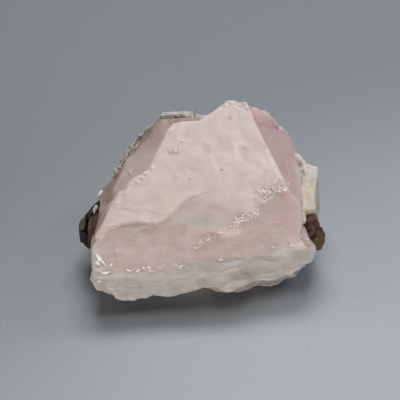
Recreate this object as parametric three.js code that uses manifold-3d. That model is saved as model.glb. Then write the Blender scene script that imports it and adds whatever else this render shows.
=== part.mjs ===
// A rough morganite (pink beryl) crystal with the remnants of the rock that it grew in.
// Millimetres, +Z up. The crystal lies on its broken underside with the large main face tilted
// towards -Y. The origin is on the resting surface, under the middle of the specimen.
import * as THREE from "three";
import { ConvexGeometry } from "three/addons/geometries/ConvexGeometry.js";
import { mergeVertices } from "three/addons/utils/BufferGeometryUtils.js";
import { ImprovedNoise } from "three/addons/math/ImprovedNoise.js";
import Module from "manifold-3d";

// ---- Driving dimensions -------------------------------------------------------------------

const REACH = 80; // side of the blocks that cut a face, more than the whole specimen
const SEAT = 0.3; // gap between the crystal and what has grown on it

// A face is a point that it passes through, the compass direction that it faces (0 along +X,
// 90 along +Y) and its dip (0 faces up, 90 is upright, 180 faces down).
const MAIN = { through: [0, 0, 20.9], azimuth: -90, dip: 20 };
const FLAT_FACES = {
  main: MAIN,
  right: { through: [8.95, 13.5, 25.8], azimuth: 8.8, dip: 50 },
  left: { through: [-8.2, 9.4, 24.3], azimuth: 172, dip: 50 },
  west: { through: [-21.2, -6, 12], azimuth: 184, dip: 90 },
  summit: { through: [5.6, 14.3, 26.1], azimuth: 84, dip: 62 },
  backRightLow: { through: [19.9, 13.1, 12.9], azimuth: 18, dip: 80 },
  backRightHigh: { through: [15, 17.5, 17.5], azimuth: 62, dip: 74 },
  backLeftLow: { through: [-17.4, 5.8, 14.1], azimuth: 157, dip: 75 },
  backLeftHigh: { through: [-12.9, 13.4, 15.3], azimuth: 121.6, dip: 75 },
};

// Broken faces, each with the spacing of its points.
const EAST = { through: [20.3, 0, 14.5], azimuth: -5, dip: 86, cell: 1.5 };
const FRONT = { through: [0, -8.4, 17.7], azimuth: -83.7, dip: 48, cell: 0.95 };
const RIM = { through: [0, -16.2, 7], azimuth: -84, dip: 86, cell: 1 };
const BACK = { through: [0, 18, 10], azimuth: 96, dip: 82, cell: 1.6 };
const UNDERSIDE = { through: [0, 0, 0], azimuth: 0, dip: 180, cell: 1.6 };
const REST = { through: [0, 0, 0], azimuth: 0, dip: 180 };

// The notch beside the summit: a shelf below the main face and the summit's flank.
const SHELF = { through: [-4, 9.6, 24.4], azimuth: 97, dip: 36 };
const SUMMIT_FLANK = { through: [3.6, 12.2, 25.3], azimuth: 150, dip: 62 };

// The upper half of the left face lies deeper than the lower half, behind an upright jog.
const RECESS = { through: [-5.5, 9.4, 24.3], azimuth: 170, dip: 50 };
const JOG = { through: [-12, -1.1, 20.5], azimuth: 125, dip: 78 };

// The terrace and the front break start at a ledge: a line on the main face, in that face's
// frame. The step there fades out towards the right, where the terrace meets the main face.
const TERRACE = { through: [5.1, -3.9, 19.5], azimuth: -93, dip: 24 };
const LEDGE = [
  [-24, -11.7], [-17.4, -11.5], [-12.2, -10.7], [-8.4, -11], [-5.3, -9.3],
  [-2.6, -6.5], [2.3, -4.6], [9, -3.6], [24, -1.5],
];

// Lines across the broken front and rim, each as [x, height] pairs.
const FRONT_BULGE = [
  [-19, -0.8], [-12, -0.9], [-8, -0.4], [-5.5, -0.5], [-2, 0.9], [4.6, 1.7],
  [9.8, 1.1], [11.7, -0.1], [16.4, -0.8],
];
const LIP_TOP = [
  [-20.5, -8.9], [-17.2, -9.9], [-10.4, -10.1], [-7.7, -10.8], [-3, -9.4],
  [3.2, -9.6], [11, -8.7], [18.8, -7.7],
];
const RIM_BEND = [
  [-20, 0.2], [4, 0.4], [12, -0.3], [21, -2.1],
];
const LOWER_LAYER_TOP = [
  [-2, -6], [1.5, -2.4], [8, -1.4], [18, -0.7],
];
const RIM_BOTTOM = [
  [-21, 9.5], [-18, 7.4], [-15.2, 3.9], [-12.3, 3.6], [-10.5, 4.5], [-7.8, 4.5],
  [-6.2, 3.5], [0.8, 4.6], [2.4, 2.5], [8, 2.1], [14.2, 2.2], [17.7, 3.4],
  [19.2, 5], [21.7, 8],
];
const FLARE = 1.9; // how far the rim's right end stands out below the east face
const LIP = 0.5; // how far the rim's top edge stands out of the front
const LOWER_LAYER_SET_BACK = 0.6;

// Albite crust on the right side, in the frame of the east face (x back, y up): its outline,
// how far it stands out from the front end to the back end, and the face over it.
const RIGHT_CRUST_OUTLINE = [
  [-8.8, -2.4], [-8.2, -5], [-5, -7.2], [-2.4, -9.4], [1, -8.6], [4.5, -10.2],
  [8, -8.4], [10.6, -5.2], [12.6, -3.4], [12.8, -0.8], [11, 0.8], [8.4, 1.2],
  [-3, 1], [-7, -0.6],
];
const RIGHT_CRUST_STANDS = [
  [-8.8, 1.9], [-6.6, 2.9], [-3.4, 3], [0.2, 2.4], [2.6, 2.9], [7.2, 3.3],
  [8.2, 1.4], [10.5, 0.8], [13, -0.4],
];
const RIGHT_CRUST_TOP = { through: [21, 7.5, 14], azimuth: -25, dip: 12, cell: 1.2 };

// Albite crust on the back left: a skin over the crystal, inside a rough ball.
const BACK_CRUST = { centre: [-9, 15.5, 14], radius: 12, thickness: 0.75 };
const BACK_CRUST_FRONT = { through: [-4, 14.9, 20], azimuth: 97, dip: 84 };

// The brown chip's corners.
const CHIP_CORNERS = [
  [21.9, -1.8, 10.6], [23.4, -3, 10.9], [23.5, -5, 11.4], [24.9, -7.3, 9.9],
  [24.5, -8.6, 9.1], [22.9, -10.3, 9.2], [21.2, -9.1, 10], [20.6, -5, 11],
  [22, -2.6, 6.8], [24.2, -6.4, 6.4], [22.8, -8.2, 6.6], [21.2, -6.4, 6],
];

// Mica: thin plates stacked outwards from the left side. Each has its middle as [along, up] in
// the stack's frame and its width and height.
const MICA = { through: [-20.4, -4, 8.2], azimuth: 200, dip: 80 };
const MICA_PLATES = [
  { middle: [0, -0.4], width: 9.6, tall: 7.6, thickness: 1.4 },
  { middle: [0.6, 0.1], width: 8.6, tall: 7.4, thickness: 0.6 },
  { middle: [-0.4, 0.2], width: 9, tall: 6.2, thickness: 0.7 },
  { middle: [0.3, -0.3], width: 7, tall: 5.6, thickness: 0.5 },
  { middle: [0.9, 0.1], width: 5.6, tall: 4, thickness: 0.7 },
];
const MICA_CORNERS = [0.58, 0.42, 0.55, 0.45, 0.5, 0.6, 0.43]; // radii, as shares

// ---- Solids ---------------------------------------------------------------------------------

const wasm = await Module();
wasm.setup();

function solidOf(geometry) {
  const bare = geometry.index ? geometry.clone() : mergeVertices(geometry);
  bare.deleteAttribute("normal");
  bare.deleteAttribute("uv");
  const merged = mergeVertices(bare, 1e-4);
  return new wasm.Manifold(
    new wasm.Mesh({
      numProp: 3,
      vertProperties: merged.attributes.position.array,
      triVerts: new Uint32Array(merged.index.array),
    }),
  );
}

function geometryOf(solid) {
  const mesh = solid.getMesh();
  return new THREE.BufferGeometry()
    .setAttribute("position", new THREE.BufferAttribute(mesh.vertProperties, 3))
    .setIndex(new THREE.BufferAttribute(mesh.triVerts, 1));
}

// The frame of a face: x runs level along it, y runs up its slope and z points out of it.
function frameOf({ through, azimuth, dip }) {
  const turn = THREE.MathUtils.degToRad(azimuth);
  const tilt = THREE.MathUtils.degToRad(dip);
  const out = new THREE.Vector3(
    Math.sin(tilt) * Math.cos(turn),
    Math.sin(tilt) * Math.sin(turn),
    Math.cos(tilt),
  );
  const along = new THREE.Vector3(-Math.sin(turn), Math.cos(turn), 0);
  const up = new THREE.Vector3().crossVectors(out, along);
  return new THREE.Matrix4()
    .makeBasis(along, up, out)
    .setPosition(new THREE.Vector3(...through));
}

// Everything outside a face, as a block. relief(x, y) raises the face or sinks it in mm.
function outside(face, relief = null) {
  const cells = Math.round(REACH / (face.cell ?? REACH));
  const block = new THREE.BoxGeometry(REACH, REACH, REACH, cells, cells, 1);
  block.translate(0, 0, REACH / 2);
  const point = block.attributes.position;
  for (let i = 0; relief && i < point.count; i++) {
    if (point.getZ(i) < 1e-6) {
      point.setZ(i, relief(point.getX(i), point.getY(i)));
    }
  }
  return solidOf(block.applyMatrix4(frameOf(face)));
}

// An outline as an upright prism in a face's frame, from low to high along that frame's z.
function prism(outline, low, high) {
  const shape = new THREE.Shape(outline);
  const geometry = new THREE.ExtrudeGeometry(shape, {
    depth: high - low,
    bevelEnabled: false,
  });
  return geometry.translate(0, 0, low);
}

const pointsOf = (pairs) => pairs.map((pair) => new THREE.Vector2(...pair));

// ---- Relief of broken stone -------------------------------------------------------------------

const perlin = new ImprovedNoise();

// Smooth swells of about -0.5 to 0.5, span mm across.
const swell = (x, y, span, seed) => perlin.noise(x / span, y / span, seed);

// The height at x of a smooth line through [x, height] pairs, level beyond its ends.
function heightOn(line, x) {
  const next = line.findIndex(([at]) => at > x);
  if (next < 1) {
    return line.at(next)[1];
  }
  const [[x0, low], [x1, high]] = line.slice(next - 1, next + 1);
  const share = THREE.MathUtils.smoothstep(x, x0, x1);
  return THREE.MathUtils.lerp(low, high, share);
}

// 0 above a line and 1 below it, with a fall of the given width.
const below = (line, x, y, fall) =>
  THREE.MathUtils.smoothstep(heightOn(line, x) - y, 0, fall);

// The front break bulges where the terrace runs out over it, and ends in the rim's lip.
const frontRelief = (x, y) =>
  heightOn(FRONT_BULGE, x) * (1 - 0.6 * THREE.MathUtils.smoothstep(-y, 1, 7)) +
  LIP * below(LIP_TOP, x, y, 1) +
  0.5 * swell(x, y, 9, 3.7) +
  0.3 * swell(x, y, 3.4, 9.1);

// The right side's frame runs back along x and up along y.
const eastRelief = (x, y) =>
  FLARE * THREE.MathUtils.smoothstep(-x, 4, 8) * THREE.MathUtils.smoothstep(-y, 2, 4.5) +
  0.6 * swell(x, y, 5, 2.6);

// The rim bends back to the right, and its lowest layer is set back.
const rimRelief = (x, y) =>
  heightOn(RIM_BEND, x) -
  LOWER_LAYER_SET_BACK * below(LOWER_LAYER_TOP, x, y, 1) +
  1.4 * swell(x, y, 7, 5.3) +
  0.7 * swell(x, y, 2.8, 6.1);

const backRelief = (x, y) =>
  2.6 * swell(x, y, 9, 4.2) + 1.3 * swell(x, y, 4, 8.6);

// The underside hangs clear of the surface along the front, at the ends and at the back.
// Its frame's x is the specimen's +Y and its y is the specimen's +X.
function undersideRelief(y, x) {
  const front = THREE.MathUtils.smoothstep(-y, 8, 15.5);
  const ends = THREE.MathUtils.smoothstep(Math.abs(x), 13, 22);
  const back = THREE.MathUtils.smoothstep(y, 10, 19);
  const clear = Math.max(heightOn(RIM_BOTTOM, x) * front, 5 * ends, 3.4 * back);
  const rough = 1.7 * swell(x, y, 8, 7.4) + 1.1 * swell(x, y, 3.6, 2.8);
  return 0.4 - clear + rough * (1 - 0.6 * front);
}

// ---- Morganite crystal ----------------------------------------------------------------------

function morganiteCrystal() {
  let crystal = solidOf(new THREE.BoxGeometry(REACH, REACH, REACH));
  for (const face of Object.values(FLAT_FACES)) {
    crystal = crystal.subtract(outside(face));
  }
  const edge = new THREE.SplineCurve(pointsOf(LEDGE)).getPoints(40);
  const foot = pointsOf([[24, -40], [-24, -40]]);
  const block = prism([...edge, ...foot], -REACH / 2, REACH / 2);
  const belowEdge = solidOf(block.applyMatrix4(frameOf(MAIN)));
  const brokenAway = outside(TERRACE).add(outside(FRONT, frontRelief));
  return crystal
    .subtract(outside(SHELF).intersect(outside(SUMMIT_FLANK)))
    .subtract(outside(RECESS).intersect(outside(JOG)))
    .subtract(brokenAway.intersect(belowEdge))
    .subtract(outside(EAST, eastRelief))
    .subtract(outside(RIM, rimRelief))
    .subtract(outside(BACK, backRelief))
    .subtract(outside(UNDERSIDE, undersideRelief))
    .subtract(outside(REST));
}

const crystal = morganiteCrystal();

// A solid made larger about its middle, by about the given thickness on its nearest side.
function swollen(solid, thickness) {
  const geometry = geometryOf(solid);
  geometry.computeBoundingBox();
  const { x, y, z } = geometry.boundingBox.getCenter(new THREE.Vector3());
  const size = geometry.boundingBox.getSize(new THREE.Vector3());
  const grow = 1 + (2 * thickness) / Math.min(size.x, size.y, size.z);
  return solidOf(
    geometry.translate(-x, -y, -z).scale(grow, grow, grow).translate(x, y, z),
  );
}

const seated = swollen(crystal, SEAT);

// ---- What grew on the crystal -----------------------------------------------------------------

function albiteCrustRight() {
  const block = prism(pointsOf(RIGHT_CRUST_OUTLINE), -4, 8);
  const side = (x, y) =>
    heightOn(RIGHT_CRUST_STANDS, x) +
    1.1 * swell(x, y, 3.2, 1.3) +
    0.6 * swell(x, y, 1.6, 4.4);
  const top = (x, y) => 1.1 * swell(x, y, 3.6, 1.3);
  return solidOf(block.applyMatrix4(frameOf(EAST)))
    .subtract(outside({ ...EAST, cell: 1.1 }, side))
    .subtract(outside(RIGHT_CRUST_TOP, top))
    .subtract(seated)
    .subtract(swollen(ironStainedChip(), SEAT));
}

function albiteCrustBack() {
  const { centre, radius, thickness } = BACK_CRUST;
  const ball = new THREE.IcosahedronGeometry(radius, 5);
  const point = ball.attributes.position;
  const at = new THREE.Vector3();
  for (let i = 0; i < point.count; i++) {
    at.fromBufferAttribute(point, i);
    at.multiplyScalar(1 + 0.35 * perlin.noise(at.x / 5, at.y / 5, at.z / 5));
    point.setXYZ(i, at.x, at.y, at.z);
  }
  const behind = outside(FLAT_FACES.backLeftLow)
    .add(outside(FLAT_FACES.backLeftHigh))
    .add(outside(BACK_CRUST_FRONT));
  return solidOf(ball.translate(...centre))
    .intersect(swollen(crystal, thickness))
    .intersect(behind)
    .subtract(seated);
}

function ironStainedChip() {
  const corners = CHIP_CORNERS.map((corner) => new THREE.Vector3(...corner));
  return solidOf(new ConvexGeometry(corners)).subtract(seated);
}

function micaBook() {
  const overlap = 0.1;
  let book = null;
  let height = 0;
  MICA_PLATES.forEach(({ middle, width, tall, thickness }, plate) => {
    const outline = MICA_CORNERS.map((_, i) => {
      const radius = MICA_CORNERS[(i + 3 * plate) % MICA_CORNERS.length];
      const turn = ((i + 0.3) / MICA_CORNERS.length) * 2 * Math.PI;
      return new THREE.Vector2(
        middle[0] + radius * width * Math.cos(turn),
        middle[1] + radius * tall * Math.sin(turn),
      );
    });
    const block = prism(outline, height, height + thickness + overlap);
    const solid = solidOf(block.applyMatrix4(frameOf(MICA)));
    book = book ? book.add(solid) : solid;
    height += thickness;
  });
  return book.subtract(seated);
}

// ---- Specimen ---------------------------------------------------------------------------------

const specimen = new THREE.Group();

function addPiece(name, solid, color, roughness) {
  const material = new THREE.MeshStandardMaterial({ color, roughness });
  const mesh = new THREE.Mesh(geometryOf(solid), material);
  mesh.name = name;
  specimen.add(mesh);
}

addPiece("morganite_crystal", crystal, 0xe6cdc8, 0.3);
addPiece("albite_crust_right", albiteCrustRight(), 0xe9e2d6, 0.6);
addPiece("albite_crust_back", albiteCrustBack(), 0xd9d2bf, 0.6);
addPiece("iron_stained_chip", ironStainedChip(), 0x4a3226, 0.8);
addPiece("mica_book", micaBook(), 0x3d332e, 0.35);

const part = new THREE.Group();
part.add(specimen);
const box = new THREE.Box3().setFromObject(part);
const centre = box.getCenter(new THREE.Vector3());
specimen.position.set(-centre.x, -centre.y, -box.min.z);

export default part;
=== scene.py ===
"""A rough morganite crystal with the last of the rock that it grew in, on a pale table."""
import math

import bmesh
import bpy
import numpy as np
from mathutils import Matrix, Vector
from mathutils.bvhtree import BVHTree


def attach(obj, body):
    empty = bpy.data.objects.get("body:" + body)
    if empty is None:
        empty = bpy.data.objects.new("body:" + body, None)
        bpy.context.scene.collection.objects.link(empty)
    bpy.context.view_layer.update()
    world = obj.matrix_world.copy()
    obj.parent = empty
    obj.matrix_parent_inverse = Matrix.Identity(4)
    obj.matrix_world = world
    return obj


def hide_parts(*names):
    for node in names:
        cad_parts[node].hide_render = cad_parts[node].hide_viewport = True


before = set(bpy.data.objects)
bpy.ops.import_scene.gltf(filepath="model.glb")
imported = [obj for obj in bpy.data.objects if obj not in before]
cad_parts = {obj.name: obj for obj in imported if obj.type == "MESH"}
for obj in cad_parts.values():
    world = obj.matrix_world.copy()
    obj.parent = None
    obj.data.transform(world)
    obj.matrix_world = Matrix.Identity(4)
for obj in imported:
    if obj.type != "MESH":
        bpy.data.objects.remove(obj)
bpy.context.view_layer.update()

# ---- Camera ----
# The specimen is seen from in front and well above, with a long lens.

MM = 0.001
CAMERA_RISE = math.radians(48)
CAMERA_AIM = Vector((-0.05, -1.05, 12)) * MM
CAMERA_DISTANCE = 210 * MM
CAMERA_LENS = 94.5
CAMERA_NEAREST = 10 * MM


def new_object(name, data):
    made = bpy.data.objects.new(name, data)
    bpy.context.scene.collection.objects.link(made)
    return made


camera = new_object("camera", bpy.data.cameras.new("camera"))
camera.data.lens = CAMERA_LENS
camera.data.clip_start = CAMERA_NEAREST
back_to_camera = Vector((0, -math.cos(CAMERA_RISE), math.sin(CAMERA_RISE)))
camera.location = CAMERA_AIM + back_to_camera * CAMERA_DISTANCE
camera.rotation_euler = back_to_camera.to_track_quat("Z", "Y").to_euler()
bpy.context.scene.camera = camera
bpy.context.scene.view_settings.view_transform = "Standard"

# ---- Light ----
# Soft windows overhead, behind and on both sides, a small lamp that makes clean breaks
# glint, and a low warm card that fills the front.

SMALL_LAMP = (-70, -330, 300)
WHITE = (1, 1, 1)
# Each one's middle and size in mm, its power in watts and its colour.
WINDOWS = {
    "window_above": ((60, 60, 445), (160, 140), 0.35, WHITE),
    "window_behind": ((15, 235, 380), (300, 120), 0.92, WHITE),
    "window_right": ((310, 180, 275), (120, 120), 0.32, WHITE),
    "window_left": ((-330, 90, 240), (120, 120), 0.12, (1, 0.97, 0.94)),
    "small_lamp": (SMALL_LAMP, (40, 40), 0.05, WHITE),
    "card_in_front": ((0, -440, 15), (300, 26), 0.9, (1, 0.89, 0.78)),
}
ROOM_COLOUR = (1, 0.94, 0.88)
ROOM_STRENGTH = 0.01

for window_name, (window_middle, sides, power, colour) in WINDOWS.items():
    lamp = bpy.data.lights.new(window_name, "AREA")
    lamp.shape = "RECTANGLE"
    lamp.size, lamp.size_y = (side * MM for side in sides)
    lamp.energy = power
    lamp.color = colour
    holder = new_object(window_name, lamp)
    holder.location = Vector(window_middle) * MM
    holder.rotation_euler = holder.location.to_track_quat("Z", "Y").to_euler()

room = bpy.data.worlds.new("room")
room.use_nodes = True
room.node_tree.nodes["Background"].inputs["Color"].default_value = (*ROOM_COLOUR, 1)
room.node_tree.nodes["Background"].inputs["Strength"].default_value = ROOM_STRENGTH
bpy.context.scene.world = room

# ---- Table ----
# A plain, pale blue-grey board with a fine grain. It grows paler towards its front right corner,
# which is painted light: a pool of lamplight laid into its colour.

TABLE_HALF = 900
TABLE_TOP = -0.01
TABLE_DIM_FAR_COLOUR = (0.247, 0.275, 0.303)
TABLE_LIT_NEAR_COLOUR = (0.555, 0.6, 0.645)


class Value:
    """A node's output that Python sums can use."""

    def __init__(self, nodes, socket):
        self.nodes, self.socket = nodes, socket

    def maths(self, operation, first, second):
        return self.nodes.node("Math", {"operation": operation}, {0: first, 1: second})

    def __add__(self, other):
        return self.maths("ADD", self, other)

    def __sub__(self, other):
        return self.maths("SUBTRACT", self, other)

    def __rsub__(self, other):
        return self.maths("SUBTRACT", other, self)

    def __mul__(self, other):
        return self.maths("MULTIPLY", self, other)

    __radd__, __rmul__ = __add__, __mul__


class Nodes:
    """A tree of nodes."""

    def __init__(self, tree):
        self.tree = tree

    def node(self, kind, settings=None, values=None, output=0):
        """One node. Its settings go in first, then a number or a Value for each socket."""
        made = self.tree.nodes.new(kind if "Node" in kind else "ShaderNode" + kind)
        for setting, value in (settings or {}).items():
            setattr(made, setting, value)
        for key, value in (values or {}).items():
            if isinstance(value, Value):
                self.tree.links.new(value.socket, made.inputs[key])
            else:
                made.inputs[key].default_value = value
        return Value(self, made.outputs[output])

    def scaled(self, vector, share):
        return self.node("VectorMath", {"operation": "SCALE"}, {0: vector, "Scale": share})


class Finish(Nodes):
    """A procedural material."""

    def __init__(self, name):
        self.material = bpy.data.materials.new(name)
        self.material.use_nodes = True
        super().__init__(self.material.node_tree)
        self.tree.nodes.clear()

    def places(self):
        """The piece's own coordinates, in mm."""
        return self.scaled(self.node("TexCoord", output="Object"), 1 / MM)

    def along(self, direction):
        """How far each place lies along a direction, in mm."""
        values = {0: self.places(), 1: direction}
        return self.node("VectorMath", {"operation": "DOT_PRODUCT"}, values, "Value")

    def noise(self, span, detail=2, stretch=(1, 1, 1), seed=0):
        """Cloudy noise from 0 to 1 with spots of about span mm."""
        stretched = self.node(
            "Mapping",
            {"vector_type": "POINT"},
            {"Vector": self.places(), "Location": (seed, seed, seed), "Scale": stretch},
        )
        values = {"Vector": stretched, "Scale": 1 / span, "Detail": detail}
        return self.node("TexNoise", None, values)

    def ramp(self, value, low, high, bottom=0, top=1):
        """A smooth climb from bottom to top as value goes from low to high."""
        return self.node(
            "MapRange",
            {"interpolation_type": "SMOOTHSTEP"},
            {"Value": value, 1: low, 2: high, 3: bottom, 4: top},
        )

    def blend(self, share, first, second):
        """The first colour where share is 0 and the second where it is 1."""
        first, second = (
            colour if isinstance(colour, Value) else (*colour, 1)
            for colour in (first, second)
        )
        return self.node("Mix", {"data_type": "RGBA"}, {0: share, 6: first, 7: second}, 2)

    def layered(self, colour, layers):
        """A colour with others laid over it in turn, each as thickly as its share says."""
        for share, over in layers:
            colour = self.blend(share, colour, over)
        return colour

    def toned(self, colour, value, low, high, dark, light):
        """A colour made darker where value is low and lighter where it is high."""
        return self.scaled(colour, self.ramp(value, low, high, dark, light))

    def mark(self, name):
        """A share from 0 to 1 that the mesh holds at each point."""
        return self.node("Attribute", {"attribute_name": name}, output="Fac")

    def bump(self, height, depth):
        """The normal of a surface whose height goes from 0 to 1 over depth mm."""
        return self.node("Bump", None, {"Height": height, "Strength": 1, "Distance": depth * MM})

    def surface(self, values):
        """Ends the material in one Principled shader."""
        shader = self.node("BsdfPrincipled", {"subsurface_method": "RANDOM_WALK"}, values)
        target = self.tree.nodes.new("ShaderNodeOutputMaterial")
        self.tree.links.new(shader.socket, target.inputs["Surface"])
        return self.material


def table_finish():
    finish = Finish("table")
    # Painted light: the colour climbs from the dim far corner to the lit near one.
    share = finish.ramp(finish.along((0.42, -0.91, 0)), -40, 62)
    grain = finish.ramp(finish.noise(0.32, detail=1), 0.3, 0.7, -0.1, 0.1)
    return finish.surface({
        "Base Color": finish.blend(share + grain, TABLE_DIM_FAR_COLOUR, TABLE_LIT_NEAR_COLOUR),
        "Roughness": 0.5,
    })


table_mesh = bpy.data.meshes.new("table")
table_corners = [(-1, -1), (1, -1), (1, 1), (-1, 1)]
table_mesh.from_pydata(
    [(x * TABLE_HALF * MM, y * TABLE_HALF * MM, TABLE_TOP * MM) for x, y in table_corners],
    [],
    [(0, 1, 2, 3)],
)
table_mesh.materials.append(table_finish())
new_object("table", table_mesh)

# ---- Morganite crystal ----
# Pale pink beryl, grown as one piece, that lies on its broken underside. The main, left
# and right faces are its own. The terraced front, the milky layered rim and the back are
# breaks, and some of their ledges have crumbled.

CRYSTAL_VOXEL = 0.2
CRYSTAL_TRIANGLES = 190_000
CRYSTAL_SHARP = 30
SAME_PLACE = 1e-4
SOFTNESS = 0.5
MAIN_FACE = {"through": (-0.05, -1.05, 20.9), "azimuth": -90, "dip": 20}
RIGHT_FACE = {"through": (8.9, 12.45, 25.8), "azimuth": 8.8, "dip": 50}
LEFT_FACE = {"through": (-8.25, 8.35, 24.3), "azimuth": 172, "dip": 50}
TERRACE = {"through": (5.05, -4.95, 19.5), "azimuth": -93, "dip": 24}
BACK_FACING = np.array([-0.07, 0.58, 0.81])

# The thin shoulder that runs from the shelf up to the tip, behind the main face's edge.
SHOULDER = [
    (-0.6, 8.8, 24.45), (0.95, 9.4, 24.65), (2.1, 10.2, 24.95), (3.4, 11.4, 25.4),
    (4.3, 12.2, 25.7), (5.4, 13.1, 26), (6.5, 10, 24.8), (1.5, 7, 23.7), (-0.5, 10, 21.5),
    (2.5, 12, 23), (5, 14, 23.5), (6, 10, 22),
]

# The swollen lower left corner of the rim.
RIM_CORNER = [
    (-21.1, -15.8, 7.4), (-21.3, -16.2, 5.6), (-21, -16.6, 4.3), (-20.2, -17.5, 3.9),
    (-18.8, -18.4, 4.6), (-17.6, -18.9, 4.5), (-16.2, -19.4, 4.6), (-16.2, -19.2, 8),
    (-20.2, -17.2, 8.6), (-16.5, -16, 3.8), (-19.8, -14.5, 4.6), (-18, -15, 8),
]

# The thin outer edge of the left face, in three slabs, and the two blocks of the brow over
# its front end.
LEFT_EDGE_BLOCKS = [
    [(-10.2, 11.8, 18.5), (-11.7, 12.1, 16.7), (-12.8, 12.1, 15.4), (-14.3, 11.6, 13.7),
     (-15.8, 11.3, 12), (-16.8, 10.7, 11), (-11, 8, 17.6), (-15, 7, 13.1), (-11, 10.5, 14.5),
     (-14, 10, 11), (-15.5, 9, 9)],
    [(-16.8, 10.7, 11), (-17.4, 8.3, 10.6), (-18.4, 6.9, 9.6), (-15, 7, 13.1), (-16.5, 3, 12.1),
     (-16, 8.5, 8), (-17.5, 5.5, 7)],
    [(-18.4, 6.9, 9.6), (-20.6, 6.1, 7.2), (-21, 4.7, 7), (-20.6, 3.1, 7.7), (-19.1, 1.2, 9.5),
     (-17.9, 2.6, 10.7), (-18, 4, 6), (-20, 4.5, 5)],
    [(-15.6, -5.1, 19.4), (-16.2, -6.5, 18.9), (-16.9, -7.9, 18.4), (-17.8, -9.6, 17.8),
     (-18.2, -10.6, 17.4), (-18.8, -11.9, 17), (-14, -5.1, 19.3), (-16, -11.9, 16.9),
     (-16, -6, 16.5), (-17, -8, 15.5), (-18.5, -11, 14.5), (-17, -11.5, 14)],
    [(-18.8, -11.9, 17), (-19.7, -12.4, 15.5), (-20.3, -13.2, 14.8), (-19.5, -13.6, 14.3),
     (-18.3, -12.4, 15.3), (-17, -11.9, 16.5), (-18.5, -11, 14), (-19.8, -12, 13.5),
     (-20.2, -13, 13.3)],
]

# Lines on the surface, where the crystal broke or crumbled.
CRUMBLED_LEDGE = [
    (11.8, -6.9, 18.7), (11, -8.5, 18), (10.9, -9.4, 17.3), (9.7, -10.2, 17.3), (8.3, -10.5, 17.1),
    (7.4, -10.8, 17), (6, -11.5, 16.7), (4.9, -12.1, 15.9), (3.2, -12.5, 15.3), (1.5, -13.1, 14.6),
    (0.1, -13.5, 13.9), (-0.5, -14.1, 13),
]
CRUMBLED_PATCH = [(12.1, -5.9, 19.1), (13.3, -5.4, 19.3), (14.7, -5, 19.5), (15.9, -4.6, 19.6)]
CRUMBLED_STRIP = [
    (-12.8, -2.6, 19.4), (-13.7, -4.4, 19.2), (-15.2, -7, 18.6), (-17.5, -10.6, 16.4),
]
LIP_LINE = [
    (-19.6, -17.9, 10.9), (-16.4, -17.9, 10.2), (-13.4, -17.6, 10.1), (-9.6, -17.2, 9.9),
    (-6.9, -17.4, 9.5), (-4.6, -16.8, 10), (-2.3, -16.1, 11), (3.8, -15.8, 11.3), (7.6, -15, 11.5),
    (11.5, -14.1, 11.6), (15.4, -13.2, 11.7), (18.9, -12.3, 11.8), (20.8, -11.6, 10.4),
]
RIM_LEDGES = [
    [(-4, -18, 7), (1.5, -17.8, 8.6), (7.7, -16.8, 8.9), (14.7, -14.6, 8.6), (19.5, -13, 8.6)],
    [(1.4, -17, 4), (4.2, -17, 5), (6.4, -16.7, 4.9), (10.6, -15.5, 4.5), (15, -13.9, 4),
     (17.5, -14, 5.2), (18.7, -14.2, 6.4), (20.6, -13.1, 7)],
]
INNER_LEDGE = [
    (-14.6, -8.4, 18.2), (-13.4, -8.9, 18), (-10.5, -9.1, 18), (-7.5, -9.8, 17.7),
    (-5.4, -10.5, 17.4),
]
TIP_LINE = [(4.2, 12.3, 25.6), (5.5, 12.9, 26), (7.4, 12.5, 25.9), (9, 11.9, 25.6)]
RIGHT_FACE_STEP = [(11.9, 9.6, 22.8), (13.6, 11.4, 20.6), (16, 14.4, 17), (18.4, 15.7, 14.1)]
# Milky veils just under the skin.
VEILS = [
    [(6.6, 4.2, 22.8), (7, 2.4, 22.2), (8.3, 0.4, 21.4), (10.2, -1, 20.9), (11.6, -1.4, 20.8)],
    [(2.1, 1.2, 21.7), (2.7, -0.4, 21.1), (3.2, -1.6, 20.7)],
    [(12.9, 2.6, 22.2), (14, 0.6, 21.4), (15, -1.8, 20.6), (15.8, -2.8, 20.2)],
    [(12, 0.4, 21.4), (13.1, -0.8, 21)],
    [(-5.6, 2.8, 22.3), (-4.4, 2.9, 22.3)],
    [(-13.8, -8.2, 18.3), (-12.2, -9, 18), (-10.6, -9.2, 17.9)],
    [(-14.8, -9.6, 17.8), (-12.6, -10.2, 17.6), (-10.4, -10.4, 17.5)],
    [(12, 13.6, 22.2), (14, 14.9, 19.4), (15.4, 15.6, 17.6)],
    [(-20.2, -14.9, 13.2), (-18.8, -16.1, 12.1)], [(-19.6, -16.9, 11.4), (-18, -18, 10.5)],
]
# The brow's steep side, a smoky spot, brown stains, and where feldspar grains cling.
BROW_SIDE = [
    (-16.6, -6, 17.2), (-17.5, -8, 16.6), (-18.6, -10.8, 15.8), (-19.7, -12.2, 14.8),
    (-20.5, -13.2, 13.6),
]
SMOKE = [(19.7, -10.4, 12.7), (20.1, -11.2, 12)]
STAINS = [
    [(-10.2, 11.9, 18.1), (-12.1, 11.1, 16), (-15.5, 10.5, 12.3), (-16.7, 6.9, 11.7)],
    [(-16.7, 6.9, 11.7), (-17.6, 4.5, 11), (-18.8, 2.4, 10), (-19, -3.6, 13.6), (-19.7, -5.8, 13.2),
     (-20.3, -8, 12.8)],
    [(-19.6, 5.6, 8.4), (-18.8, 2.4, 10)],
]
SUGARED = [
    (-11.7, 11.6, 16.8), (-13.6, 11.2, 14.6), (-15.6, 10.2, 12.4), (-17, 7.6, 11.2),
    (-18.6, 5.4, 9.6), (-20.2, 4.2, 8),
]
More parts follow.
